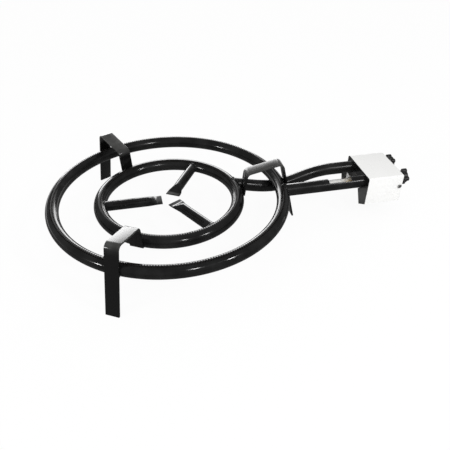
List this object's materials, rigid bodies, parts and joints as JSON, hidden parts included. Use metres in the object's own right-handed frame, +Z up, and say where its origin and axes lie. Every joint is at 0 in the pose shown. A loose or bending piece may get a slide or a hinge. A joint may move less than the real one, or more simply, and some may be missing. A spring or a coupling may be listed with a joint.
{
  "type": "paella burner",
  "caption": "Twin ring gas burner for wide pans, with bent pan supports, dipping feed tube, air windows and push-and-turn taps under a sheet cover.",
  "frame": {"origin": "on the floor under the middle of the whole outline, rings and taps together", "axes": "+Z up; +X from the rings along the feed tubes to the taps and knobs; +Y towards the hose nozzle's side"},
  "size_m": [0.617, 0.4, 0.109],
  "materials": {
    "enamel": "glossy black vitreous enamel",
    "cover_sheet": "glossy white painted sheet",
    "zinc": "zinc plated, satin",
    "brass": "turned brass, satin",
    "steel": "bright plated steel",
    "knob_plastic": "black moulded plastic, semi gloss"
  },
  "bodies": {
    "burner": {"outer_ring": "enamel", "inner_ring": "enamel", "spoke_1": "enamel", "spoke_2": "enamel", "spoke_3": "enamel", "support_handle": "enamel", "support_far": "enamel", "support_near": "enamel", "feed_tube_outer": "enamel", "feed_tube_inner": "enamel", "tube_plate": "enamel", "cover": "cover_sheet", "tap_bracket": "zinc", "gas_rail": "zinc", "rail_plug": "brass", "hose_nozzle": "brass", "tap_body_near": "brass", "tap_bonnet_near": "brass", "injector_near": "brass", "bonnet_screw_near_1": "steel", "bonnet_screw_near_2": "steel", "tap_body_far": "brass", "tap_bonnet_far": "brass", "injector_far": "brass", "bonnet_screw_far_1": "steel", "bonnet_screw_far_2": "steel", "cover_screw_near": "steel", "cover_screw_far": "steel"},
    "plug_near": {"tap_plug_near": "brass"},
    "knob_near": {"spindle_near": "steel", "knob_near": "knob_plastic"},
    "plug_far": {"tap_plug_far": "brass"},
    "knob_far": {"spindle_far": "steel", "knob_far": "knob_plastic"}
  },
  "joints": [
    {"name": "tap_near_turn", "type": "hinge", "parent": "burner", "child": "plug_near", "pos_m": [0.2999, -0.0255, 0.067], "axis": [1, 0, 0], "range_deg": [0, 210]},
    {"name": "knob_near_push", "type": "slide", "parent": "plug_near", "child": "knob_near", "axis": [-1, 0, 0], "range_m": [0, 0.003], "stiffness_N_per_m": 800},
    {"name": "tap_far_turn", "type": "hinge", "parent": "burner", "child": "plug_far", "pos_m": [0.2999, 0.0255, 0.067], "axis": [1, 0, 0], "range_deg": [0, 210]},
    {"name": "knob_far_push", "type": "slide", "parent": "plug_far", "child": "knob_far", "axis": [-1, 0, 0], "range_m": [0, 0.003], "stiffness_N_per_m": 800}
  ]
}
